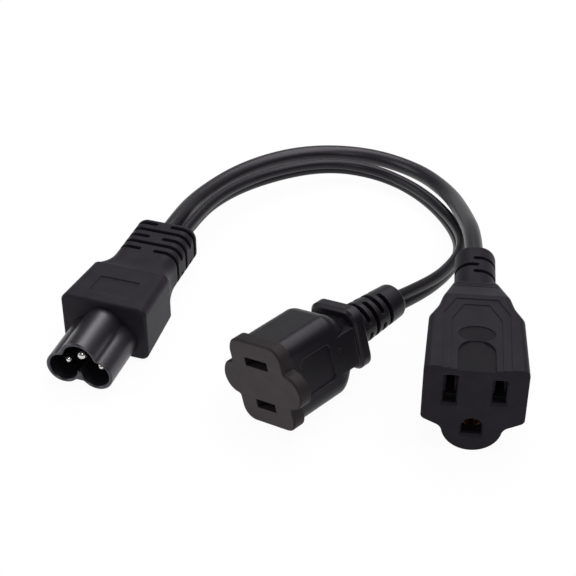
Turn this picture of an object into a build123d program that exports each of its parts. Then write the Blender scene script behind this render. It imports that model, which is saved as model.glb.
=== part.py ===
from build123d import *
import math
import os

os.makedirs("parts", exist_ok=True)

# Splitter lead: a clover-leaf inlet plug feeds a grounded three-slot socket and a two-slot socket
# over two short cords. Each connector has its own frame, seen from its mating face:
# x to the right, y up, z out of the face. All sizes are millimetres.

# Fits shared by all pieces
moulded_fit = 0.05
contact_play = 0.35
sheet = 0.5

# Cords and the cores inside them
round_cord_radius = 2.5
flat_lobe_radius = 1.5
flat_lobe_offset = 1.15
core_radius = 0.9
core_pitch_radius = 1.2
core_count = 3
plug_core_turn = 90.0
grounded_core_turn = 30.0

# Straight ends of the leads, and how far they stop short of the bores that hold them
plug_lead_run = 5.0
barrel_lead_run = 5.0
socket_lead_run = 14.0
crimp_lead_run = 3.0
lead_stop = 0.5
lead_gap = 0.2
lead_dip = 4.8
lead_dip_run = 3.5

# Strain relief slots
slot_width = 1.6
slot_depth = 1.8

# Inlet plug housing
plug_front_width = 26.2
plug_front_height = 18.0
plug_rear_width = 24.0
plug_rear_height = 16.6
plug_body_length = 19.4
plug_corner = 2.5
plug_front_edge = 0.8
plug_neck_step = 0.15
plug_neck_length = 10.0
plug_throat_width = 20.6
plug_throat_height = 13.8
plug_throat_corner = 3.4
plug_throat_at = 4.0
plug_relief_width = 19.3
plug_relief_height = 12.2
plug_relief_corner = 4.0
plug_relief_length = 17.7
plug_relief_round = 1.2
plug_axis_height = 9.0
plug_slot_first = 2.0
plug_slot_pitch = 3.3
plug_slot_rows = 5
plug_slot_bridge = 5.4
plug_panel_width = 12.5
plug_panel_length = 8.5
plug_panel_shift = -1.5
plug_panel_depth = 0.35
plug_panel_corner = 0.8

# Inlet shroud with its pins
lobe_x = 5.0
lobe_y = 6.3
lobe_radius = 4.95
crown_y = 10.1
crown_radius = 5.7
shroud_wall = 1.05
shroud_length = 17.2
shroud_floor = 1.5
shroud_root = 9.0
notch_y = 3.1
notch_blend = 1.0
valley_blend = 1.7
inner_lift = 0.2
inner_valley_blend = 1.0
ridge_y = 6.2
ridge_half = 0.6
ridge_round = 0.45
rim_chamfer = 0.3
power_pin_radius = 1.2
power_pin_tip = 14.0
earth_pin_radius = 1.5
earth_pin_tip = 15.6
pin_flat = 0.05
pin_collar = 0.3
barrel_radius = 2.4
barrel_length = 6.0
barrel_bore_depth = 4.0

# Grounded socket housing, measured from the middle of its two blade slots
grounded_width = 27.0
grounded_top = 7.9
grounded_lower_y = -9.6
grounded_lower_slope = 26.5
grounded_lower_corner = 1.8
ground_lobe_y = -12.0
ground_lobe_radius = 8.0
ground_lobe_blend = 2.8
grounded_skin = 1.4
grounded_shoulder = 22.0
grounded_shoulder_width = 25.4
grounded_shoulder_bend = 3.0
grounded_waist = 26.8
grounded_waist_width = 20.6
grounded_waist_bend = 9.0
grounded_rear_width = 13.0
grounded_length = 42.0
grounded_fold = 31.0
grounded_fold_bend = 3.0
grounded_fold_drop = 3.6
grounded_heel = 21.0
grounded_heel_bend = 6.0
grounded_top_edge = 1.8
grounded_relief_width = 11.6
grounded_relief_height = 10.6
grounded_relief_corner = 4.9
grounded_relief_length = 18.3
grounded_relief_round = 1.2
grounded_axis_y = -1.3
grounded_slot_first = 5.9
grounded_slot_pitch = 3.15
grounded_slot_rows = 3
grounded_slot_lap = 0.1
frame_width = 17.7
frame_length = 29.4
frame_step = 2.2
frame_chamfer = 6.5
frame_depth = 0.3
oval_length = 9.7
oval_width = 6.7
oval_at = 14.9
arch_width = 9.8
arch_length = 12.3
badge_depth = 0.3
ridge_count = 3
ridge_pitch = 1.3
ridge_width = 0.4
ridge_depth = 0.25

# Blade slots, face blocks and contacts
blade_spacing = 12.7
grounded_neutral_slot = 9.1
grounded_line_slot = 7.4
grounded_slot_gap = 3.4
slot_chamfer = 0.65
two_neutral_slot = 8.7
two_line_slot = 7.5
two_slot_gap = 2.6
ground_hole_radius = 2.65
ground_hole_sill = 2.6
ground_hole_y = -12.15
face_rim = 2.0
face_web = 3.0
face_tail = 1.0
leaf_gap = 1.3
leaf_width = 6.2
leaf_flare = 0.5
leaf_lead_in = 2.0
leaf_length = 13.5
face_depth = face_web + leaf_length + face_tail
sleeve_radius = 2.9
sleeve_set_back = 0.5
sleeve_slit = 1.2
crimp_wall = 0.45
crimp_length = 5.0

# Two-slot socket
two_width = 20.4
two_height = 25.2
two_corner = 4.3
two_lobe_x = 9.8
two_lobe_radius = 5.2
two_lobe_blend = 0.5
flange_thick = 3.7
flange_edge = 0.5
two_body_width = 18.4
two_body_height = 23.8
two_body_corner = 4.2
two_waist_width = 15.0
two_waist_height = 12.8
two_shoulder = 20.0
two_shoulder_steps = 4
pad_height = 11.0
pad_rear = 27.5
plate_front = 28.8
plate_thick = 4.2
plate_width = 17.6
plate_height = 18.5
plate_corner = 4.0
plate_edge = 0.8
two_relief_root_radius = 6.3
two_relief_tip_radius = 5.1
two_relief_length = 20.0
two_relief_round = 1.5
two_slot_first = 4.0
two_slot_pitch = 3.0
two_slot_rows = 4
two_slot_bridge = 4.0
grip_width = 11.0
grip_front = 7.0
grip_rear = 18.3
grip_depth = 0.4
grip_corner = 1.8
dimple_radius = 0.5
dimple_depth = 0.3
dimple_at = 21.5
dimple_y = 1.5
two_block_width = 12.5
two_block_height = 20.0
two_block_corner = 2.0

# Where the pieces lie: the plug stands at the origin and the sockets beside each other
plug_front_y = -10.0
grounded_place = (107.6, -16.6)
grounded_yaw = 12.8
two_place = (52.5, -25.0)
two_yaw = -25.7
two_roll = 16.89
round_cord_x = -1.5
flat_cord_x = 3.3
plug_cord_end = 37.0
grounded_cord_end = 53.0
two_cord_end = 46.0
plug_cord_run = 18.0
grounded_cord_run = 19.0
two_cord_run = 12.0


def section(z, width, height, radius, mid_y=0.0):
    return Pos(0, mid_y, z) * RectangleRounded(width, height, radius)


def bar(sketch, front, rear):
    return extrude(Pos(0, 0, rear) * sketch, amount=front - rear)


def lead(points, radius):
    path = Polyline(*points)
    ring = Plane(origin=path @ 0, z_dir=path % 0) * Circle(radius)
    return sweep(ring, path=path, transition=Transition.RIGHT)


def seat(x, y, z, yaw, roll=0.0):
    turn, lean = math.radians(yaw), math.radians(roll)
    across = (math.cos(turn) * math.cos(lean), math.sin(turn) * math.cos(lean), math.sin(lean))
    return Plane(origin=(x, y, z), x_dir=across, z_dir=(math.sin(turn), -math.cos(turn), 0)).location


def seated(place, x, y, z):
    return (place * Pos(x, y, z)).position


def relief_slot(z, start, turn, reach):
    # A cut with a round end that begins at start from the axis, on the side that turn names
    bar_cut = Pos(start + reach / 2, 0, z) * Box(reach, 2 * reach, slot_width)
    round_end = Pos(start, 0, z) * Rot(90, 0, 0) * Cylinder(slot_width / 2, 2 * reach)
    return Rot(0, 0, turn) * (bar_cut + round_end)


def slotted(blank, core, slots, axis_y):
    cut = Pos(0, axis_y, 0) * (Part() + slots)
    return blank - (cut - core)


def alternate_slots(first, pitch, rows, bridge_across, bridge_up, reach):
    cuts = []
    for row in range(rows):
        z = -(first + pitch * row)
        start, turns = (bridge_across, (0, 180)) if row % 2 == 0 else (bridge_up, (90, 270))
        cuts += [relief_slot(z, start / 2, turn, reach) for turn in turns]
    return cuts


def rounded_end(blank, radius):
    return fillet(blank.faces().sort_by(Axis.Z)[0].edges(), radius)


def flat_profile(radius):
    return Rot(0, 0, 90) * SlotCenterToCenter(2 * flat_lobe_offset, 2 * radius)


def core_starts(turn):
    angles = [math.radians(turn + 360 * core / core_count) for core in range(core_count)]
    return [(core_pitch_radius * math.cos(a), core_pitch_radius * math.sin(a)) for a in angles]


def flat_core(side, turn):
    angle = math.radians(turn)
    return (-side * flat_lobe_offset * math.sin(angle), side * flat_lobe_offset * math.cos(angle))


# Where the contacts' crimps start behind their folded strips
crimp_front = -face_web - leaf_length - sheet / 2


def leaf_contact(width):
    # A strip folded into two sprung leaves that grip a blade, with the blade standing along y
    half = leaf_gap / 2 + sheet / 2
    front, rear = -face_web - contact_play, -face_web - leaf_length
    mouth, bend = half + leaf_flare, front - leaf_lead_in
    points = [(mouth, front), (half, bend), (half, rear), (-half, rear), (-half, bend), (-mouth, front)]
    strip = extrude(Plane.XZ * trace(Polyline(*points), sheet), amount=width / 2, both=True)
    return strip + crimp(crimp_front)


def leaf_pocket(width):
    mouth = 2 * (leaf_gap / 2 + leaf_flare + sheet + contact_play)
    return bar(Rectangle(mouth, width + 2 * contact_play), -face_web, -face_depth)


def crimp(z):
    outer = bar(Circle(core_radius + crimp_wall), z, z - crimp_length)
    return outer - bar(Circle(core_radius + moulded_fit), z - sheet, z - crimp_length)


def crimp_pocket(z):
    return bar(Circle(core_radius + crimp_wall + moulded_fit), z, z - crimp_length)


# Where each connector rests on the floor
plug_seat = seat(0, plug_front_y, 0, 0)
grounded_seat = seat(*grounded_place, ground_lobe_radius - ground_lobe_y, grounded_yaw)
lean = math.radians(two_roll)
corner_x, corner_y = two_width / 2 - two_corner, two_height / 2 - two_corner
two_rest = math.sin(lean) * corner_x + math.cos(lean) * corner_y + two_corner
two_seat = seat(*two_place, two_rest, two_yaw, two_roll)

# Routes of the cords, from inside the plug's strain relief to inside the socket's
round_route = [
    seated(plug_seat, round_cord_x, plug_axis_height, -plug_cord_end),
    seated(plug_seat, round_cord_x, plug_axis_height, -plug_cord_end - plug_cord_run),
    Vector(-1.9, 65.8, 6.3),
    Vector(5.8, 90.2, 4.7),
    Vector(20.9, 108.2, 3.5),
    Vector(42.4, 114.9, 2.8),
    Vector(62.8, 108.5, 3.0),
    Vector(76.4, 93.1, 5.4),
    Vector(83.3, 75.2, 12.0),
    seated(grounded_seat, 0, grounded_axis_y, -grounded_cord_end - grounded_cord_run),
    seated(grounded_seat, 0, grounded_axis_y, -grounded_cord_end),
]
flat_route = [
    seated(plug_seat, flat_cord_x, plug_axis_height, -plug_cord_end),
    seated(plug_seat, flat_cord_x, plug_axis_height, -plug_cord_end - plug_cord_run),
    Vector(4.5, 63.6, 7.6),
    Vector(13.8, 84.6, 5.7),
    Vector(29.6, 101.3, 4.0),
    Vector(47.7, 104.2, 3.2),
    Vector(65.9, 95.1, 3.0),
    Vector(80.2, 80.3, 2.8),
    Vector(86.1, 63.8, 5.2),
    Vector(83.7, 41.7, 7.6),
    seated(two_seat, 0, 0, -two_cord_end - two_cord_run),
    seated(two_seat, 0, 0, -two_cord_end),
]


def cord_bends(points):
    radii = []
    for before, here, after in zip(points, points[1:], points[2:]):
        first, second = here - before, after - here
        short = min(first.length, second.length)
        radii.append(0.45 * short / math.tan(math.radians(first.get_angle(second) / 2)))
    return radii


def end_turn(points, place):
    # How far an upright section has turned, in the connector's frame, once carried along its route
    up = Vector(0, 0, 1)
    for before, here, after in zip(points, points[1:], points[2:]):
        first, second = here - before, after - here
        up = up.rotate(Axis((0, 0, 0), first.cross(second)), first.get_angle(second))
    frame = Plane(place)
    return math.degrees(math.atan2(-up.dot(frame.x_dir), up.dot(frame.y_dir)))


# The flat cord stands upright in the two-slot socket, so it leans in the plug by the turn of its route
flat_turn = end_turn(flat_route, two_seat)


# Inlet plug: shroud and pin carrier
def clover(centre_x, mid_y, radius, crown, waist_y, notch_round, valley_round):
    # Two side lobes bridged down to waist_y, with a crown above them
    top_y = mid_y + radius / 2
    lobes = [Pos(side * centre_x, mid_y) * Rot(0, 0, 90 + 45 * side) * Circle(radius) for side in (-1, 1)]
    bridge = Pos(0, (waist_y + top_y) / 2) * Rectangle(2 * centre_x, top_y - waist_y)
    cap = Pos(0, crown_y) * Circle(crown) - Pos(0, top_y - crown) * Rectangle(2 * crown, 2 * crown)
    leaf = bridge + lobes + cap
    leaf = fillet(leaf.vertices().filter_by_position(Axis.Y, waist_y - 0.01, waist_y + 0.01), notch_round)
    return fillet(leaf.vertices().filter_by_position(Axis.Y, top_y, crown_y + crown), valley_round)


def inlet_carrier():
    outer = clover(lobe_x, lobe_y, lobe_radius, crown_radius, notch_y, notch_blend, valley_blend)
    inner_radius = (lobe_x + lobe_radius - shroud_wall - ridge_half) / 2
    inner = clover(ridge_half + inner_radius, lobe_y + inner_lift, inner_radius, crown_radius - shroud_wall,
                   ridge_y, ridge_round, inner_valley_blend)
    shell = bar(outer, shroud_length, -shroud_root) - bar(inner, shroud_length, shroud_floor)
    shell = chamfer(shell.faces().sort_by(Axis.Z)[-1].edges(), rim_chamfer)
    for x, y, radius, tip in pins.values():
        shell -= Pos(x, y) * bar(Circle(radius + pin_collar + moulded_fit), shroud_floor, -shroud_root)
    return outer, shell


def inlet_pin(x, y, radius, tip):
    shank = bar(Circle(radius), tip, shroud_floor)
    shank = fillet(shank.faces().sort_by(Axis.Z)[-1].edges(), radius - pin_flat)
    rear = -shroud_root - barrel_length
    barrel = bar(Circle(barrel_radius), -shroud_root, rear)
    bore_radius = 2 * core_radius + lead_gap / 2 + moulded_fit
    barrel -= bar(Circle(bore_radius), rear + barrel_bore_depth, rear)
    collar = bar(Circle(radius + pin_collar), shroud_floor, -shroud_root)
    return Pos(x, y) * (shank + collar + barrel)


pins = {
    "line_pin": (-lobe_x, lobe_y, power_pin_radius, power_pin_tip),
    "neutral_pin": (lobe_x, lobe_y, power_pin_radius, power_pin_tip),
    "earth_pin": (0, crown_y, earth_pin_radius, earth_pin_tip),
}


def inlet_leads():
    # Cores run from the cords' ends to the pin barrels, two side by side in each power pin
    end, barrel = -plug_cord_end, -shroud_root - barrel_length
    fan, meet, stop = end + plug_lead_run, barrel - barrel_lead_run, barrel + barrel_bore_depth - lead_stop
    aside = core_radius + lead_gap / 2
    outer, inner = lobe_x + aside, lobe_x - aside
    cores = core_starts(plug_core_turn)
    earth, line, neutral = [(round_cord_x + x, plug_axis_height + y) for x, y in cores]
    pair = [flat_core(side, flat_turn) for side in (1, -1)]
    upper, lower = [(flat_cord_x + x, plug_axis_height + y) for x, y in pair]
    ends = {
        "earth_lead": (earth, (0, crown_y)),
        "line_lead": (line, (-outer, lobe_y)),
        "neutral_lead": (neutral, (inner, lobe_y)),
        "flat_neutral_lead": (upper, (outer, lobe_y)),
    }
    routes = {
        name: [(*start, end), (*start, fan), (*target, meet), (*target, stop)]
        for name, (start, target) in ends.items()
    }
    # This one passes below the others on its way across
    dip = (0, plug_axis_height - lead_dip, (fan + meet) / 2)
    target = (-inner, lobe_y)
    leaves = (*lower, end + lead_dip_run)
    routes["flat_line_lead"] = [(*lower, end), leaves, dip, (*target, meet), (*target, stop)]
    return routes


def inlet_body():
    front, rear, length = plug_front_width / 2, plug_rear_width / 2, plug_body_length
    plan = make_face(Polyline((front, 0), (rear, -length), (-rear, -length), (-front, 0), close=True))
    side = [(0, 0), (plug_front_height, 0), (plug_rear_height, -length), (0, -length)]
    side = make_face(Polyline(*side, close=True))
    body = extrude(Plane.XZ * plan, amount=2 * plug_front_height, both=True)
    body = body & extrude(Plane.YZ * side, amount=plug_front_width, both=True)
    body = fillet(body.edges().group_by(Axis.Z)[1], plug_corner)
    body = fillet(body.faces().sort_by(Axis.Z)[-1].edges(), plug_front_edge)
    top = body.faces().filter_by(GeomType.PLANE).sort_by(Axis.Y)[-1]
    lid = Plane(origin=top.center(), x_dir=(1, 0, 0), z_dir=top.normal_at())
    panel = RectangleRounded(plug_panel_width, plug_panel_length, plug_panel_corner)
    return body - extrude(lid * Pos(0, plug_panel_shift) * panel, amount=-plug_panel_depth)


def inlet_relief():
    # Flared neck and strain relief behind the body
    rear, neck_end = -plug_body_length, -plug_body_length - plug_neck_length
    lip = section(rear, plug_rear_width - 2 * plug_neck_step, plug_rear_height - 2 * plug_neck_step,
                  plug_corner - plug_neck_step, plug_rear_height / 2)
    throat_y = (plug_rear_height / 2 + plug_axis_height) / 2
    throat = section(rear - plug_throat_at, plug_throat_width, plug_throat_height,
                     plug_throat_corner, throat_y)
    relief = section(neck_end, plug_relief_width, plug_relief_height, plug_relief_corner, plug_axis_height)
    tail = rounded_end(extrude(relief, amount=-plug_relief_length), plug_relief_round)
    core = Pos(0, plug_axis_height) * bar(
        RectangleRounded(plug_relief_width - 2 * slot_depth, plug_relief_height - 2 * slot_depth,
                         plug_relief_corner - slot_depth), neck_end, neck_end - plug_relief_length)
    slots = alternate_slots(-neck_end + plug_slot_first, plug_slot_pitch, plug_slot_rows,
                            plug_slot_bridge, plug_slot_bridge, plug_relief_width)
    return loft([lip, throat, relief]) + slotted(tail, core, slots, plug_axis_height)


def inlet_housing(carrier_outline):
    housing = inlet_body() + inlet_relief()
    housing -= bar(offset(carrier_outline, moulded_fit), 0, -shroud_root)
    for x, y, radius, tip in pins.values():
        bore = bar(Circle(barrel_radius + moulded_fit), -shroud_root, -shroud_root - barrel_length)
        housing -= Pos(x, y) * bore
    stop = -plug_body_length - plug_neck_length - plug_relief_length
    at_round = Pos(round_cord_x, plug_axis_height)
    at_flat = Pos(flat_cord_x, plug_axis_height) * Rot(0, 0, flat_turn)
    housing -= at_round * bar(Circle(round_cord_radius + moulded_fit), -plug_cord_end, stop)
    housing -= at_flat * bar(flat_profile(flat_lobe_radius + moulded_fit), -plug_cord_end, stop)
    for route in inlet_leads().values():
        housing -= lead(route, core_radius + moulded_fit)
    return housing


# Grounded socket
def grounded_outline():
    half = grounded_width / 2
    keel = grounded_lower_y - half * math.tan(math.radians(grounded_lower_slope))
    shield = make_face(Polyline((half, grounded_top), (half, grounded_lower_y), (0, keel),
                                (-half, grounded_lower_y), (-half, grounded_top), close=True))
    lower = shield.vertices().filter_by_position(Axis.Y, grounded_lower_y - 0.01, grounded_lower_y + 0.01)
    shield = fillet(lower, grounded_lower_corner)
    face = shield + Pos(0, ground_lobe_y) * Rot(0, 0, 90) * Circle(ground_lobe_radius)
    valley = face.vertices().filter_by_position(Axis.X, -ground_lobe_radius, ground_lobe_radius)
    return fillet(valley, ground_lobe_blend)


def octagon_panel(inset):
    half, end, cut = frame_width / 2 - inset, frame_length - inset, frame_chamfer
    return make_face(Polyline(
        (half, 0), (half, -end + cut), (half - cut / 2, -end),
        (-half + cut / 2, -end), (-half, -end + cut), (-half, 0), close=True))


def grounded_body(outline):
    half, shoulder = grounded_width / 2, grounded_shoulder_width / 2
    waist, rear = grounded_waist_width / 2, grounded_rear_width / 2
    right = [(half, 0), (shoulder, -grounded_shoulder), (waist, -grounded_waist), (rear, -grounded_length)]
    bends = [0, grounded_shoulder_bend, grounded_waist_bend, 0]
    left = [(-x, z) for x, z in reversed(right)]
    plan = Plane.XZ * make_face(FilletPolyline(*right, *left, radius=bends + bends[::-1], close=True))
    heel = ground_lobe_y - ground_lobe_radius
    top_rear = grounded_top - grounded_fold_drop
    bottom_rear = grounded_axis_y - grounded_relief_height / 2
    side = [(grounded_top, 0), (grounded_top, -grounded_fold), (top_rear, -grounded_length),
            (bottom_rear, -grounded_length), (heel, -grounded_heel), (heel, 0)]
    folds = [0, grounded_fold_bend, 0, 0, grounded_heel_bend, 0]
    profile = Plane.YZ * make_face(FilletPolyline(*side, radius=folds, close=True))
    body = bar(outline, 0, -grounded_length)
    body = body & extrude(plan, amount=2 * grounded_width, both=True)
    body = body & extrude(profile, amount=grounded_width, both=True)
    upper = [e for e in body.edges() if e.center().Y > top_rear - 0.2 and abs(e.center().X) > rear - 0.3]
    return fillet([e for e in upper if e.length > 0.5 and e.center().Z < -1], grounded_top_edge)


def grounded_top_cuts():
    lid = Plane.XZ.offset(-grounded_top)
    cuts = extrude(lid * octagon_panel(0), amount=frame_depth)
    cuts += extrude(lid * octagon_panel(frame_step), amount=2 * frame_depth)
    oval = Pos(0, -oval_at) * Ellipse(oval_length / 2, oval_width / 2)
    arch_radius = arch_width / 2
    arch = Pos(0, -arch_length + arch_radius) * Circle(arch_radius)
    arch += Pos(0, (-arch_length + arch_radius) / 2) * Rectangle(arch_width, arch_length - arch_radius)
    cuts += extrude(lid * oval, amount=2 * frame_depth + badge_depth)
    return cuts + extrude(lid * arch, amount=2 * frame_depth + 2 * badge_depth)


def grounded_ridge_cuts():
    run = grounded_length - grounded_fold
    slope = math.degrees(math.atan2(grounded_fold_drop, run))
    grooves = []
    for row in range(ridge_count):
        back = ridge_pitch * (row + 1)
        y = grounded_top - grounded_fold_drop * (run - back) / run
        groove = Box(grounded_rear_width, 2 * ridge_depth, ridge_width)
        grooves.append(Pos(0, y, -grounded_length + back) * Rot(slope, 0, 0) * groove)
    return grooves


def grounded_leads():
    end, crimp_end = -grounded_cord_end, crimp_front - crimp_length
    far, near, stop = end + socket_lead_run, crimp_end - crimp_lead_run, crimp_front - sheet - lead_stop
    targets = [(blade_spacing / 2, 0), (-blade_spacing / 2, 0), (0, ground_hole_y)]
    routes = {}
    cores = core_starts(grounded_core_turn)
    for label, (x, y), target in zip(("line", "neutral", "earth"), cores, targets):
        start = (x, y + grounded_axis_y)
        routes[f"grounded_{label}_lead"] = [(*start, end), (*start, far), (*target, near), (*target, stop)]
    return routes


def ground_hole():
    sill = Pos(0, -ground_hole_sill / 2) * Rectangle(2 * ground_hole_radius, ground_hole_sill)
    below = Rectangle(4 * ground_hole_radius, 2 * ground_hole_radius)
    below = Pos(0, -ground_hole_sill - ground_hole_radius) * below
    return Pos(0, ground_hole_y) * (Circle(ground_hole_radius) + sill - below)


def grounded_openings():
    sides = ((-1, grounded_neutral_slot), (1, grounded_line_slot))
    slots = [Pos(side * blade_spacing / 2, 0) * Rectangle(grounded_slot_gap, up) for side, up in sides]
    return [*slots, ground_hole()]


def grounded_face(outline):
    # Block behind the moulded front that holds the contacts
    block = bar(offset(outline, -face_rim), -grounded_skin, -face_depth)
    for opening in grounded_openings():
        block -= bar(opening, -grounded_skin, -face_web)
    for side in (-1, 1):
        block -= Pos(side * blade_spacing / 2, 0) * leaf_pocket(leaf_width)
    return block - Pos(0, ground_hole_y) * bar(Circle(sleeve_radius + contact_play), -face_web, -face_depth)


def ground_sleeve():
    front, rear = -face_web - contact_play - sleeve_set_back, -face_web - leaf_length
    sleeve = bar(Circle(sleeve_radius), front, rear - sheet)
    sleeve -= bar(Circle(sleeve_radius - sheet), front, rear)
    slit = Pos(0, -sleeve_radius, (front + rear) / 2) * Box(sleeve_slit, sleeve_radius, front - rear)
    return Pos(0, ground_hole_y) * (sleeve - slit + crimp(crimp_front))


def grounded_housing(outline):
    body = grounded_body(outline) - grounded_top_cuts() - grounded_ridge_cuts()
    start, stop = -grounded_length, -grounded_length - grounded_relief_length
    relief = section(start, grounded_relief_width, grounded_relief_height,
                     grounded_relief_corner, grounded_axis_y)
    tail = rounded_end(extrude(relief, amount=-grounded_relief_length), grounded_relief_round)
    core = Pos(0, grounded_axis_y) * bar(
        RectangleRounded(grounded_relief_width - 2 * slot_depth, grounded_relief_height - 2 * slot_depth,
                         grounded_relief_corner - slot_depth), start, stop)
    slots = []
    for row in range(grounded_slot_rows):
        z = start - grounded_slot_first - row * grounded_slot_pitch
        slots.append(relief_slot(z, -grounded_slot_lap, 180 * (row % 2), grounded_relief_width))
    housing = body + slotted(tail, core, slots, grounded_axis_y)
    housing -= bar(offset(outline, moulded_fit - face_rim), -grounded_skin, -face_depth)
    for opening in grounded_openings():
        housing -= bar(opening, 0, -grounded_skin)
        mouth = offset(opening, slot_chamfer, kind=Kind.INTERSECTION)
        housing -= extrude(mouth, amount=-slot_chamfer, taper=45)
    for x, y in [(side * blade_spacing / 2, 0) for side in (-1, 1)] + [(0, ground_hole_y)]:
        housing -= Pos(x, y) * crimp_pocket(crimp_front)
    bore = bar(Circle(round_cord_radius + moulded_fit), -grounded_cord_end, stop)
    housing -= Pos(0, grounded_axis_y) * bore
    for route in grounded_leads().values():
        housing -= lead(route, core_radius + moulded_fit)
    return housing


# Two-slot socket
def two_face():
    outline = RectangleRounded(two_width, two_height, two_corner)
    ear = Circle(two_lobe_radius)
    outline += [Pos(side * two_lobe_x, 0) * Rot(0, 0, 90 + 90 * side) * ear for side in (-1, 1)]
    notch = outline.vertices().filter_by_position(Axis.Y, -two_lobe_radius, two_lobe_radius)
    outline = fillet(notch, two_lobe_blend)
    flange = bar(outline, 0, -flange_thick)
    flange = chamfer(flange.faces().sort_by(Axis.Z)[-1].edges(), flange_edge)
    block = RectangleRounded(two_block_width, two_block_height, two_block_corner)
    face = flange + bar(block, -flange_thick, -face_depth)
    for side, length in ((1, two_neutral_slot), (-1, two_line_slot)):
        opening = bar(Rectangle(two_slot_gap, length), 0, -face_web)
        face -= Pos(0, side * blade_spacing / 2) * Rot(0, 0, 90) * (opening + leaf_pocket(leaf_width))
    return face


def two_leads():
    end, crimp_end = -two_cord_end, crimp_front - crimp_length
    far, near, stop = end + socket_lead_run, crimp_end - crimp_lead_run, crimp_front - sheet - lead_stop
    routes = {}
    for label, side in (("neutral", 1), ("line", -1)):
        start, target = flat_core(side, 0), (0, side * blade_spacing / 2)
        routes[f"two_slot_{label}_lead"] = [(*start, end), (*start, far), (*target, near), (*target, stop)]
    return routes


def two_body():
    # Straight grip, then shoulders that ease in to the waist between two flat side pads
    straight = RectangleRounded(two_body_width, two_body_height, two_body_corner)
    run = plate_front - two_shoulder
    ribs = []
    for step in range(two_shoulder_steps + 1):
        share = (1 + math.cos(math.pi * step / two_shoulder_steps)) / 2
        width = two_waist_width + (two_body_width - two_waist_width) * share
        height = two_waist_height + (two_body_height - two_waist_height) * share
        z = -two_shoulder - run * step / two_shoulder_steps
        ribs.append(section(z, width, height, two_body_corner))
    pads = bar(Rectangle(two_body_width, pad_height), -two_shoulder, -pad_rear)
    return bar(straight, -flange_thick, -two_shoulder) + loft(ribs) + pads


def two_cone(inset):
    rear = -plate_front - plate_thick
    stop = rear - two_relief_length
    root, tip = two_relief_root_radius - inset, two_relief_tip_radius - inset
    half = make_face(Polyline((0, rear), (root, rear), (tip, stop), (0, stop), close=True))
    return revolve(Plane.XZ * half, Axis.Z)


def two_housing():
    rear = -plate_front - plate_thick
    plate = bar(RectangleRounded(plate_width, plate_height, plate_corner), -plate_front, rear)
    plate = chamfer(plate.faces().filter_by(Axis.Z).edges(), plate_edge)
    slots = alternate_slots(-rear + two_slot_first, two_slot_pitch, two_slot_rows,
                            two_slot_bridge, two_slot_bridge, 2 * two_relief_root_radius)
    turned = [Rot(0, 0, 90) * slot for slot in slots]
    tail = rounded_end(two_cone(0), two_relief_round)
    housing = two_body() + plate + slotted(tail, two_cone(slot_depth), turned, 0)
    grip = RectangleRounded(grip_width, grip_rear - grip_front, grip_corner)
    for side in (-1, 1):
        flank = Plane(origin=(side * two_body_width / 2, 0, 0), x_dir=(0, 1, 0), z_dir=(1, 0, 0))
        recess = flank * Pos(0, -(grip_front + grip_rear) / 2) * grip
        housing -= extrude(recess, amount=grip_depth, both=True)
    dimple = Rot(0, 90, 0) * Cylinder(dimple_radius, 2 * dimple_depth)
    housing -= Pos(two_body_width / 2, dimple_y, -dimple_at) * dimple
    pocket = offset(RectangleRounded(two_block_width, two_block_height, two_block_corner), moulded_fit)
    housing -= bar(pocket, -flange_thick, -face_depth)
    for side in (-1, 1):
        housing -= Pos(0, side * blade_spacing / 2) * crimp_pocket(crimp_front)
    housing -= bar(flat_profile(flat_lobe_radius + moulded_fit), -two_cord_end, rear - two_relief_length)
    for route in two_leads().values():
        housing -= lead(route, core_radius + moulded_fit)
    return housing


def cord(name, points, profile):
    radii = cord_bends(points)
    path = FilletPolyline(*points, radius=radii)
    start = Plane(origin=path @ 0, x_dir=Vector(0, 0, 1).cross(path % 0), z_dir=path % 0)
    solid = sweep(start * profile, path=path)
    share = solid.volume / (profile.area * path.length)
    print(name, "length", round(path.length, 1), "volume over section times length", round(share, 3))
    print(name, "radii", [round(r, 1) for r in radii])
    return solid


def add(place, solids):
    for name, solid in solids.items():
        nodes[name] = place * solid


nodes = {}
carrier_outline, carrier = inlet_carrier()
plug = {"inlet_housing": inlet_housing(carrier_outline), "inlet_shroud": carrier}
plug |= {name: inlet_pin(*sizes) for name, sizes in pins.items()}
plug |= {name: lead(route, core_radius) for name, route in inlet_leads().items()}
add(plug_seat, plug)

outline = grounded_outline()
grounded = {"grounded_housing": grounded_housing(outline), "grounded_face": grounded_face(outline)}
for label, side in (("neutral", -1), ("line", 1)):
    grounded[f"grounded_{label}_contact"] = Pos(side * blade_spacing / 2, 0) * leaf_contact(leaf_width)
grounded["grounded_earth_contact"] = ground_sleeve()
grounded |= {name: lead(route, core_radius) for name, route in grounded_leads().items()}
add(grounded_seat, grounded)

two = {"two_slot_housing": two_housing(), "two_slot_face": two_face()}
for label, side in (("neutral", 1), ("line", -1)):
    contact = Rot(0, 0, 90) * leaf_contact(leaf_width)
    two[f"two_slot_{label}_contact"] = Pos(0, side * blade_spacing / 2) * contact
two |= {name: lead(route, core_radius) for name, route in two_leads().items()}
add(two_seat, two)

nodes["round_cord"] = cord("round_cord", round_route, Circle(round_cord_radius))
nodes["flat_cord"] = cord("flat_cord", flat_route, Rot(0, 0, -flat_turn) * flat_profile(flat_lobe_radius))

for name, solid in nodes.items():
    export_step(solid, f"parts/{name}.step")
    print(name, len(solid.solids()), round(solid.volume, 1))
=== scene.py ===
import bpy
import math
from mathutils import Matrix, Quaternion, Vector


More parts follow.
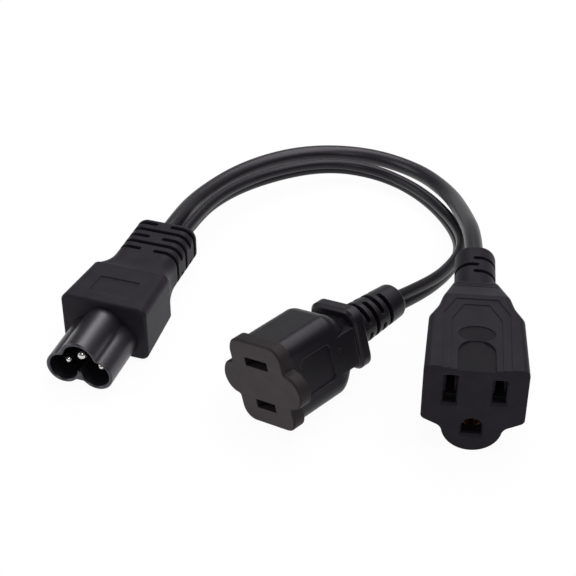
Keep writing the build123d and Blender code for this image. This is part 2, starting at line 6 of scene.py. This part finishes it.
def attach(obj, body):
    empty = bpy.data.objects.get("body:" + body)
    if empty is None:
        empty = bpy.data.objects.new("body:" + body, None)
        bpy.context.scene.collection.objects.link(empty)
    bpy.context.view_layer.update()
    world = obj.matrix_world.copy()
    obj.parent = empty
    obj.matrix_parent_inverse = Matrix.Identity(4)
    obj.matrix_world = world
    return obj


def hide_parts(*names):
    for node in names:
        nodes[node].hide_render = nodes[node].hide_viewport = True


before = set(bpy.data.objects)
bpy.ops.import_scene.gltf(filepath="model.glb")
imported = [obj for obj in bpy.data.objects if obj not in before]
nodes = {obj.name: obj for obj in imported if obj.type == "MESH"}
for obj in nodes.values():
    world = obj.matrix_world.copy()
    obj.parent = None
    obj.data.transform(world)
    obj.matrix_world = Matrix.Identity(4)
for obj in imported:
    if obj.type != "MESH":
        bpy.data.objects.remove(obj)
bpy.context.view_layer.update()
scene = bpy.context.scene
mm = 0.001
print("frame loaded:", len(nodes), "nodes")


def addObject(name, data):
    obj = bpy.data.objects.new(name, data)
    scene.collection.objects.link(obj)
    return obj


def aim(obj, direction):
    obj.rotation_mode = "QUATERNION"
    obj.rotation_quaternion = Vector(direction).to_track_quat("-Z", "Y")


# the photo's view: a long lens, from above and the front right
photoView = {
    "position": (0.15331, -0.29934, 0.2614),
    "forward": (-0.2592, 0.7618, -0.5937),
    "pixelsWide": 576,
    "focalPixels": 1450,
    "sensorWidth": 36,
    "clip": (0.01, 20),
}


def setCamera(view):
    data = bpy.data.cameras.new("photoCamera")
    data.sensor_width = view["sensorWidth"]
    data.lens = view["sensorWidth"] * view["focalPixels"] / view["pixelsWide"]
    data.clip_start, data.clip_end = view["clip"]
    camera = addObject("photoCamera", data)
    camera.location = view["position"]
    aim(camera, view["forward"])
    scene.camera = camera


setCamera(photoView)
print("camera set")


# nodes that the finishes share
def newMaterial(name):
    mat = bpy.data.materials.new(name)
    mat.use_nodes = True
    tree = mat.node_tree
    return mat, tree, tree.nodes["Principled BSDF"]


def addNode(tree, kind, **settings):
    node = tree.nodes.new(kind)
    for key, value in settings.items():
        setattr(node, key, value)
    return node


def feed(tree, value, socket):
    # a link from another node's output, or a plain value
    if isinstance(value, bpy.types.NodeSocket):
        tree.links.new(value, socket)
    else:
        socket.default_value = value


def addMath(tree, kind, first, second):
    node = addNode(tree, "ShaderNodeMath", operation=kind)
    feed(tree, first, node.inputs[0])
    feed(tree, second, node.inputs[1])
    return node.outputs[0]


def addDot(tree, first, second):
    node = addNode(tree, "ShaderNodeVectorMath", operation="DOT_PRODUCT")
    feed(tree, first, node.inputs[0])
    feed(tree, second, node.inputs[1])
    return node.outputs["Value"]


def addMix(tree, share, first, second, kind="MIX"):
    # a Mix node's colours are inputs 6 and 7 and output 2
    node = addNode(tree, "ShaderNodeMix", data_type="RGBA", blend_type=kind)
    feed(tree, share, node.inputs["Factor"])
    feed(tree, first, node.inputs[6])
    feed(tree, second, node.inputs[7])
    return node.outputs[2]


def addNoise(tree, coords, scale, detail, rough=0.55):
    noise = addNode(tree, "ShaderNodeTexNoise")
    noise.inputs["Scale"].default_value = scale
    noise.inputs["Detail"].default_value = detail
    noise.inputs["Roughness"].default_value = rough
    tree.links.new(coords, noise.inputs["Vector"])
    return noise.outputs["Fac"]


def addRamp(tree, factor, span, low, high):
    ramp = addNode(tree, "ShaderNodeValToRGB")
    for element, at, colour in zip(ramp.color_ramp.elements, span, (low, high)):
        element.position = at
        element.color = (*colour, 1)
    tree.links.new(factor, ramp.inputs["Fac"])
    return ramp.outputs["Color"]


def addRange(tree, factor, low, high):
    span = addNode(tree, "ShaderNodeMapRange")
    span.inputs["To Min"].default_value = low
    span.inputs["To Max"].default_value = high
    tree.links.new(factor, span.inputs["Value"])
    return span.outputs["Result"]


def addBump(tree, height, strength, distance):
    bump = addNode(tree, "ShaderNodeBump")
    bump.inputs["Strength"].default_value = strength
    bump.inputs["Distance"].default_value = distance
    tree.links.new(height, bump.inputs["Height"])
    return bump


# faint violet cast of the carbon black
sheenTint = (0.97, 0.91, 1.0, 1.0)


def addSheen(shader, gloss):
    shader.inputs["Specular IOR Level"].default_value = gloss
    shader.inputs["Specular Tint"].default_value = sheenTint


# black mouldings: spark-eroded grain, faint mottling, edges made a little lighter, partly as
# wear and partly as a painted highlight
mouldings = {
    "inletSatin": {
        "dark": (0.0125, 0.0108, 0.0142), "pale": (0.0180, 0.0158, 0.0204),
        "rough": (0.42, 0.54), "gloss": 0.12, "grain": 5200, "grainDepth": 0.000016,
        "edge": 0.00035, "rubAndHighlight": 0.9},
    "groundedSatin": {
        "dark": (0.0114, 0.0098, 0.0130), "pale": (0.0164, 0.0143, 0.0187),
        "rough": (0.42, 0.54), "gloss": 0.09, "grain": 5200, "grainDepth": 0.000016,
        "edge": 0.00035, "rubAndHighlight": 0.9,
        "badgeFloor": (0.0265, 0.02715), "badgePaintedShade": 0.4},
    "twoSlotSoft": {
        "dark": (0.0066, 0.0057, 0.0078), "pale": (0.0098, 0.0085, 0.0114),
        "rough": (0.33, 0.42), "gloss": 0.24, "grain": 5200, "grainDepth": 0.000012,
        "edge": 0.00035, "rubAndHighlight": 0.72},
    "shroudGloss": {
        "dark": (0.0088, 0.0078, 0.0100), "pale": (0.0125, 0.0112, 0.0140),
        "rough": (0.33, 0.39), "gloss": 0.74, "grain": 3800, "grainDepth": 0.000006,
        "edge": 0.00022, "rubAndHighlight": 0.96},
    "faceMatt": {
        "dark": (0.0368, 0.0310, 0.0320), "pale": (0.0472, 0.0398, 0.0408),
        "rough": (0.50, 0.60), "gloss": 0.14, "grain": 6500, "grainDepth": 0.000018,
        "edge": 0.00025, "rubAndHighlight": 0.48,
        "front": (-0.434, -0.901, 0.0), "sidePaintedShade": 0.45},
    "innerBlock": {
        "dark": (0.0060, 0.0056, 0.0064), "pale": (0.0090, 0.0084, 0.0094),
        "rough": (0.52, 0.62), "gloss": 0.20, "grain": 6500, "grainDepth": 0.000018,
        "edge": 0.00025, "rubAndHighlight": 0.24},
    "leadSkin": {
        "dark": (0.020, 0.020, 0.022), "pale": (0.030, 0.030, 0.032),
        "rough": (0.40, 0.50), "gloss": 0.40, "grain": 4000, "grainDepth": 0.000010,
        "edge": 0.00010, "rubAndHighlight": 0.12},
}
# what every moulding shares; a noise is its scale, detail and roughness
mouldedSurface = {
    "cloud": (180, 4), "cloudSpan": (0.30, 0.72),
    "edgeSamples": 6, "edgeSpan": (0.80, 0.985), "edgeWearAndHighlight": 3.2,
    "scuffAndHighlight": (900, 5, 0.65), "leastRubAndHighlight": 0.1,
    "smudge": (95, 5, 0.6), "grainDetail": 2, "grainStrength": 0.55,
    "levelFrom": 0.985, "frontFrom": 0.93,
}


def paintShadeOnBadges(tree, tone, coords, normal, look):
    # painted shade: the level floors of the top panels, between two heights, are darkened
    low, high = look["badgeFloor"]
    up = (0, 0, 1)
    height = addDot(tree, coords, up)
    level = addMath(tree, "GREATER_THAN", addDot(tree, normal, up), mouldedSurface["levelFrom"])
    above = addMath(tree, "GREATER_THAN", height, low)
    below = addMath(tree, "LESS_THAN", height, high)
    mask = addMath(tree, "MULTIPLY", addMath(tree, "MULTIPLY", level, above), below)
    return addMix(tree, mask, tone, (*[look["badgePaintedShade"]] * 3, 1), "MULTIPLY")


def paintShadeOnSides(tree, tone, normal, look):
    # painted shade: every face that is turned away from the front is darkened
    facing = addDot(tree, normal, look["front"])
    mask = addMath(tree, "LESS_THAN", facing, mouldedSurface["frontFrom"])
    return addMix(tree, mask, tone, (*[look["sidePaintedShade"]] * 3, 1), "MULTIPLY")


def mouldedPlastic(name, look):
    mat, tree, shader = newMaterial(name)
    surface = mouldedSurface
    coords = addNode(tree, "ShaderNodeTexCoord").outputs["Object"]
    normal = addNode(tree, "ShaderNodeNewGeometry").outputs["Normal"]
    bevel = addNode(tree, "ShaderNodeBevel", samples=surface["edgeSamples"])
    bevel.inputs["Radius"].default_value = look["edge"]
    softened = bevel.outputs["Normal"]

    cloud = addNoise(tree, coords, *surface["cloud"])
    tint = addRamp(tree, cloud, surface["cloudSpan"], look["dark"], look["pale"])
    # wear and painted highlight: the edges found by the bevel are lightened, more where the
    # scuff noise is high
    bend = addDot(tree, softened, normal)
    edge = addRamp(tree, bend, surface["edgeSpan"], (1, 1, 1), (0, 0, 0))
    scuffAndHighlight = addNoise(tree, coords, *surface["scuffAndHighlight"])
    rubAndHighlight = addRange(tree, scuffAndHighlight, surface["leastRubAndHighlight"], look["rubAndHighlight"])
    wornAndHighlit = (*[surface["edgeWearAndHighlight"] * c for c in look["pale"]], 1)
    tone = addMix(tree, addMath(tree, "MULTIPLY", edge, rubAndHighlight), tint, wornAndHighlit)
    # painted shade on the floors of the recessed top panels
    if "badgeFloor" in look:
        tone = paintShadeOnBadges(tree, tone, coords, normal, look)
    # painted shade on the faces turned away from the front, such as the flange sides and slot
    # walls
    if "front" in look:
        tone = paintShadeOnSides(tree, tone, normal, look)
    tree.links.new(tone, shader.inputs["Base Color"])

    smudge = addNoise(tree, coords, *surface["smudge"])
    tree.links.new(addRange(tree, smudge, *look["rough"]), shader.inputs["Roughness"])
    grain = addNoise(tree, coords, look["grain"], surface["grainDetail"])
    bump = addBump(tree, grain, surface["grainStrength"], look["grainDepth"])
    tree.links.new(softened, bump.inputs["Normal"])
    tree.links.new(bump.outputs["Normal"], shader.inputs["Normal"])
    addSheen(shader, look["gloss"])
    return mat


# soft cord jackets: smooth, with a slight sheen and faint drawn lines along them
jackets = {
    "roundJacket": {
        "dark": (0.0084, 0.0075, 0.0097), "pale": (0.0124, 0.0111, 0.0141),
        "rough": (0.35, 0.42), "gloss": 0.42},
    "flatJacket": {
        "dark": (0.0080, 0.0071, 0.0092), "pale": (0.0118, 0.0105, 0.0134),
        "rough": (0.32, 0.39), "gloss": 0.24},
}
jacketSurface = {
    "cloud": (140, 4), "cloudSpan": (0.3, 0.75), "smudge": (120, 5, 0.6),
    "lineScale": (260, 3, 1), "line": (1.0, 2), "lineStrength": 0.35, "lineDepth": 0.000003,
}


def cordJacket(name, look):
    mat, tree, shader = newMaterial(name)
    surface = jacketSurface
    texture = addNode(tree, "ShaderNodeTexCoord")
    coords = texture.outputs["Object"]
    cloud = addNoise(tree, coords, *surface["cloud"])
    tint = addRamp(tree, cloud, surface["cloudSpan"], look["dark"], look["pale"])
    tree.links.new(tint, shader.inputs["Base Color"])
    smudge = addNoise(tree, coords, *surface["smudge"])
    tree.links.new(addRange(tree, smudge, *look["rough"]), shader.inputs["Roughness"])
    wrap = addNode(tree, "ShaderNodeMapping")
    wrap.inputs["Scale"].default_value = surface["lineScale"]
    tree.links.new(texture.outputs["UV"], wrap.inputs["Vector"])
    line = addNoise(tree, wrap.outputs["Vector"], *surface["line"])
    bump = addBump(tree, line, surface["lineStrength"], surface["lineDepth"])
    tree.links.new(bump.outputs["Normal"], shader.inputs["Normal"])
    addSheen(shader, look["gloss"])
    return mat


# plated and bare metal
metals = {
    "nickelPlate": {
        "dark": (0.62, 0.60, 0.57), "pale": (0.80, 0.79, 0.76),
        "rough": (0.16, 0.28), "scratch": 2600},
    "sheetBrass": {
        "dark": (0.58, 0.40, 0.16), "pale": (0.78, 0.58, 0.27),
        "rough": (0.24, 0.38), "scratch": 1800},
    # the slot contacts' tin is painted dark, standing in for the shade deep in the slots
    "tinInPaintedShade": {
        "dark": (0.060, 0.054, 0.066), "pale": (0.105, 0.096, 0.112),
        "rough": (0.34, 0.46), "scratch": 1800},
}
metalSurface = {
    "cloud": (420, 5), "cloudSpan": (0.32, 0.7),
    "scratchDetail": 2, "scratchStrength": 0.25, "scratchDepth": 0.000008,
}


def metalFinish(name, look):
    mat, tree, shader = newMaterial(name)
    surface = metalSurface
    coords = addNode(tree, "ShaderNodeTexCoord").outputs["Object"]
    cloud = addNoise(tree, coords, *surface["cloud"])
    tint = addRamp(tree, cloud, surface["cloudSpan"], look["dark"], look["pale"])
    tree.links.new(tint, shader.inputs["Base Color"])
    tree.links.new(addRange(tree, cloud, *look["rough"]), shader.inputs["Roughness"])
    scratch = addNoise(tree, coords, look["scratch"], surface["scratchDetail"])
    bump = addBump(tree, scratch, surface["scratchStrength"], surface["scratchDepth"])
    tree.links.new(bump.outputs["Normal"], shader.inputs["Normal"])
    shader.inputs["Metallic"].default_value = 1.0
    return mat


finishes = {name: mouldedPlastic(name, look) for name, look in mouldings.items()}
finishes |= {name: metalFinish(name, look) for name, look in metals.items()}
finishes |= {name: cordJacket(name, look) for name, look in jackets.items()}
print("finishes made:", len(finishes))

# which finish each solid wears
wearing = {
    "inletSatin": ["inlet_housing"],
    "groundedSatin": ["grounded_housing"],
    "twoSlotSoft": ["two_slot_housing"],
    "shroudGloss": ["inlet_shroud"],
    "faceMatt": ["two_slot_face"],
    "innerBlock": ["grounded_face"],
    "nickelPlate": ["line_pin", "neutral_pin", "earth_pin"],
    "sheetBrass": ["grounded_earth_contact"],
    "tinInPaintedShade": ["grounded_neutral_contact", "grounded_line_contact",
                  "two_slot_neutral_contact", "two_slot_line_contact"],
    "leadSkin": [name for name in nodes if name.endswith("_lead")],
}


def dress(obj, mat):
    obj.data.materials.clear()
    obj.data.materials.append(mat)


for finish, names in wearing.items():
    for name in names:
        dress(nodes[name], finishes[finish])
print("solids dressed")

# cords: the route's points in mm steer one smooth line, and a section is skinned along it;
# twist gives degrees at shares of the way
cords = {
    "roundCord": {
        "node": "round_cord", "finish": "roundJacket",
        "route": [
            (-1.5, 27.0, 9.0), (-1.5, 45.0, 9.0), (-2.0, 65.3, 6.2), (5.5, 89.0, 5.0),
            (20.5, 107.0, 3.9), (41.0, 114.3, 3.0), (60.9, 109.1, 3.3), (75.0, 93.9, 6.3),
            (83.8, 74.0, 12.7), (91.65, 53.61, 18.7), (95.86, 35.08, 18.7)],
        "exit": (-1.5, 37.1, 9.0), "length": 0.2136, "width": 0.0052,
        "radius": 0.0026, "lobeOffset": 0, "leanDegrees": 0,
        "twist": [(0, 0), (1, 0)]},
    "flatCord": {
        "node": "flat_cord", "finish": "flatJacket",
        "route": [
            (3.3, 27.0, 9.0), (3.3, 45.0, 9.0), (5.6, 65.7, 8.2), (15.3, 85.4, 6.5),
            (31.1, 99.8, 5.5), (48.3, 103.1, 3.9), (65.6, 95.7, 3.3), (79.5, 81.4, 3.2),
            (86.4, 65.0, 5.6), (84.8, 45.2, 8.5), (78.1, 27.0, 12.0), (72.45, 16.45, 13.96)],
        "exit": (3.3, 37.1, 9.0), "length": 0.2084, "width": 0.0063,
        "radius": 0.0017, "lobeOffset": 0.00145, "leanDegrees": 17,
        "twist": [(0, 0), (0.12, 10.6), (0.25, 6.0), (0.38, 14.2), (0.50, 18.2),
                  (0.62, 0.5), (0.74, -28.8), (0.86, -27.1), (1, 0)]},
}
# metres of cord along one unit of its UV map
wrapLength = 0.05


def routePoints(name, route):
    data = bpy.data.curves.new(name + "Route", "CURVE")
    data.dimensions = "3D"
    data.resolution_u = 16
    spline = data.splines.new("NURBS")
    spline.points.add(len(route) - 1)
    for point, place in zip(spline.points, route):
        point.co = (*[c * mm for c in place], 1)
    spline.order_u = 3
    spline.use_endpoint_u = True
    line = bpy.data.objects.new(name + "Route", data)
    mesh = bpy.data.meshes.new_from_object(line)
    points = [v.co.copy() for v in mesh.vertices]
    bpy.data.objects.remove(line)
    bpy.data.meshes.remove(mesh)
    return points


def roundSection(radius, count=40):
    turns = [2 * math.pi * i / count for i in range(count)]
    return [(radius * math.cos(t), radius * math.sin(t)) for t in turns]


def twinSection(radius, offset, count=26):
    # two lobes one above the other that run together and leave a groove on each side
    dip = math.asin(offset / radius)
    ring = []
    for middle, start in ((offset, -dip), (-offset, math.pi - dip)):
        for i in range(count):
            t = start + (math.pi + 2 * dip) * i / count
            ring.append((radius * math.cos(t), middle + radius * math.sin(t)))
    return ring


def twistAt(stops, share):
    for (start, low), (end, high) in zip(stops, stops[1:]):
        if share <= end:
            return math.radians(low + (high - low) * (share - start) / (end - start))


def layRings(points, section, lean, twist):
    # the section is carried along from how it leans in the plug, then turned by the twist
    last = len(points) - 1
    up = Vector((math.sin(lean), 0, math.cos(lean)))
    before = None
    rings = []
    for i, here in enumerate(points):
        ahead = (points[min(i + 1, last)] - points[max(i - 1, 0)]).normalized()
        if before is not None:
            up = before.rotation_difference(ahead) @ up
        before = ahead
        tall = Quaternion(ahead, twistAt(twist, i / last)) @ up
        across = ahead.cross(tall).normalized()
        rings.append([here - across * x + tall * y for x, y in section])
    return rings


def distances(points):
    travelled = [0.0]
    for start, end in zip(points, points[1:]):
        travelled.append(travelled[-1] + (end - start).length)
    return travelled


def skinCord(name, points, rings):
    count = len(rings[0])
    lastRing = (len(rings) - 1) * count
    faces = []
    for first in range(0, lastRing, count):
        for k in range(count):
            n = (k + 1) % count
            faces.append((first + k, first + n, first + count + n, first + count + k))
    faces += [tuple(reversed(range(count))), tuple(range(lastRing, lastRing + count))]
    mesh = bpy.data.meshes.new(name)
    mesh.from_pydata([v for ring in rings for v in ring], [], faces)
    travelled = distances(points)
    layer = mesh.uv_layers.new(name="wrap")
    for face in mesh.polygons:
        face.use_smooth = len(face.vertices) == 4
        for loop in face.loop_indices:
            ring, k = divmod(mesh.loops[loop].vertex_index, count)
            layer.data[loop].uv = (k / count, travelled[ring] / wrapLength)
    mesh.update()
    return addObject(name, mesh)


for name, cord in cords.items():
    points = routePoints(name, cord["route"])
    radius, offset = cord["radius"], cord["lobeOffset"]
    section = twinSection(radius, offset) if offset else roundSection(radius)
    rings = layRings(points, section, math.radians(cord["leanDegrees"]), cord["twist"])
    piece = skinCord(name, points, rings)
    dress(piece, finishes[cord["finish"]])
    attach(piece, "root")
    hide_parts(cord["node"])
print("cords laid")

# pale floor that the camera and mirror rays see as white
studio = {
    "floorSize": 6.0, "floorAt": (0.05, 0.03, -0.0002), "floorColour": (0.86, 0.86, 0.86, 1),
    "floorRough": 0.9, "floorGloss": 0.1, "whiteShare": 0.955, "world": 0.14,
}


def paleFloor(setup):
    half = setup["floorSize"] / 2
    corners = [(-half, -half, 0), (half, -half, 0), (half, half, 0), (-half, half, 0)]
    mesh = bpy.data.meshes.new("paleFloor")
    mesh.from_pydata(corners, [], [(0, 1, 2, 3)])
    floor = addObject("paleFloor", mesh)
    floor.location = setup["floorAt"]
    mat, tree, shader = newMaterial("paleFloor")
    shader.inputs["Base Color"].default_value = setup["floorColour"]
    shader.inputs["Roughness"].default_value = setup["floorRough"]
    shader.inputs["Specular IOR Level"].default_value = setup["floorGloss"]
    rays = addNode(tree, "ShaderNodeLightPath").outputs
    seen = addMath(tree, "MAXIMUM", rays["Is Camera Ray"], rays["Is Glossy Ray"])
    seen = addMath(tree, "MAXIMUM", seen, rays["Is Transmission Ray"])
    white = addNode(tree, "ShaderNodeEmission")
    mix = addNode(tree, "ShaderNodeMixShader")
    share = addMath(tree, "MULTIPLY", seen, setup["whiteShare"])
    tree.links.new(share, mix.inputs["Fac"])
    tree.links.new(shader.outputs[0], mix.inputs[1])
    tree.links.new(white.outputs[0], mix.inputs[2])
    tree.links.new(mix.outputs[0], tree.nodes["Material Output"].inputs["Surface"])
    dress(floor, mat)


def paleWorld(setup):
    world = bpy.data.worlds.new("studio")
    world.use_nodes = True
    backdrop = world.node_tree.nodes["Background"]
    backdrop.inputs["Color"].default_value = (1, 1, 1, 1)
    backdrop.inputs["Strength"].default_value = setup["world"]
    scene.world = world


paleFloor(studio)
paleWorld(studio)

# one wide bank overhead, with smaller lamps behind, at the left and by the camera
lamps = {
    "topBank": {
        "at": (0.22, 0.24, 0.80), "towards": (0.06, 0.06, 0.0),
        "size": (1.20, 0.60), "power": 9.0},
    "backBox": {
        "at": (-0.18, 0.60, 0.64), "towards": (0.05, 0.03, 0.0),
        "size": (0.28, 0.14), "power": 0.50},
    "backSweep": {
        "at": (0.05, 1.15, 0.20), "towards": (0.05, 0.05, 0.0),
        "size": (1.60, 0.36), "power": 0.7},
    "leftBox": {
        "at": (-0.62, -0.22, 0.36), "towards": (0.04, 0.00, 0.0),
        "size": (0.40, 0.40), "power": 1.6},
    "cameraLamp": {
        "at": (0.12, -0.36, 0.34), "towards": (0.05, 0.03, 0.0),
        "size": (0.08, 0.08), "power": 0.30},
}


def softLamp(name, setup):
    data = bpy.data.lights.new(name, "AREA")
    data.shape = "RECTANGLE"
    data.size, data.size_y = setup["size"]
    data.energy = setup["power"]
    lamp = addObject(name, data)
    lamp.location = setup["at"]
    aim(lamp, Vector(setup["towards"]) - Vector(setup["at"]))


for name, setup in lamps.items():
    softLamp(name, setup)
scene.view_settings.view_transform = "Standard"
print("studio lit")
